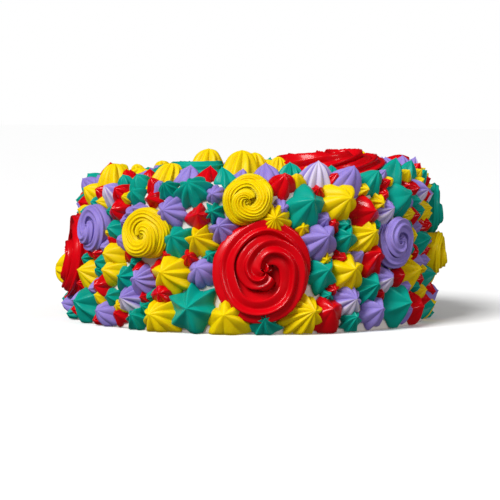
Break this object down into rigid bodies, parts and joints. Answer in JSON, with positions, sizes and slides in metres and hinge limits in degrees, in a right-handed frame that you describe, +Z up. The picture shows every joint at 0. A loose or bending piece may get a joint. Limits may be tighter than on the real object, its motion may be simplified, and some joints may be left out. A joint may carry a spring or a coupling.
{
  "type": "birthday cake",
  "caption": "Round birthday cake coated in white icing and covered all over with piped icing stars and spiral rosettes in red, yellow, teal and lavender",
  "frame": {"origin": "the middle of the cake's flat foot, which stands on z = 0", "axes": "+Z up the cake; the front in the picture faces -Y; +X to the right seen from the front"},
  "size_m": [0.2201, 0.2196, 0.0957],
  "materials": {
    "icing_white": "soft white buttercream coat, smoothed, satin",
    "icing_red": "glossy deep red piped icing",
    "icing_yellow": "golden yellow piped buttercream, satin",
    "icing_teal": "teal piped buttercream, satin",
    "icing_lavender": "lavender piped buttercream, satin"
  },
  "bodies": {
    "root": {"cake": "icing_white", "rosette_red_1": "icing_red", "rosette_red_2": "icing_red", "rosette_red_3": "icing_red", "rosette_red_4": "icing_red", "rosette_yellow_1": "icing_yellow", "rosette_yellow_2": "icing_yellow", "rosette_yellow_3": "icing_yellow", "rosette_yellow_4": "icing_yellow", "rosette_yellow_5": "icing_yellow", "rosette_yellow_6": "icing_yellow", "rosette_teal_1": "icing_teal", "rosette_teal_2": "icing_teal", "rosette_teal_3": "icing_teal", "rosette_lavender_1": "icing_lavender", "rosette_lavender_2": "icing_lavender", "rosette_lavender_3": "icing_lavender", "rosette_lavender_4": "icing_lavender", "star_red_1": "icing_red", "star_red_2": "icing_red", "star_red_3": "icing_red", "star_red_4": "icing_red", "star_red_5": "icing_red", "star_red_6": "icing_red", "star_red_7": "icing_red", "star_yellow_1": "icing_yellow", "star_yellow_2": "icing_yellow", "star_yellow_3": "icing_yellow", "star_yellow_4": "icing_yellow", "star_yellow_5": "icing_yellow", "star_yellow_6": "icing_yellow", "star_yellow_7": "icing_yellow", "star_teal_1": "icing_teal", "star_teal_2": "icing_teal", "star_teal_3": "icing_teal", "star_teal_4": "icing_teal", "star_teal_5": "icing_teal", "star_teal_6": "icing_teal", "star_teal_7": "icing_teal", "star_teal_8": "icing_teal", "star_teal_9": "icing_teal", "star_lavender_1": "icing_lavender", "star_lavender_2": "icing_lavender", "star_lavender_3": "icing_lavender", "star_lavender_4": "icing_lavender", "star_lavender_5": "icing_lavender", "star_lavender_6": "icing_lavender"}
  },
  "joints": []
}
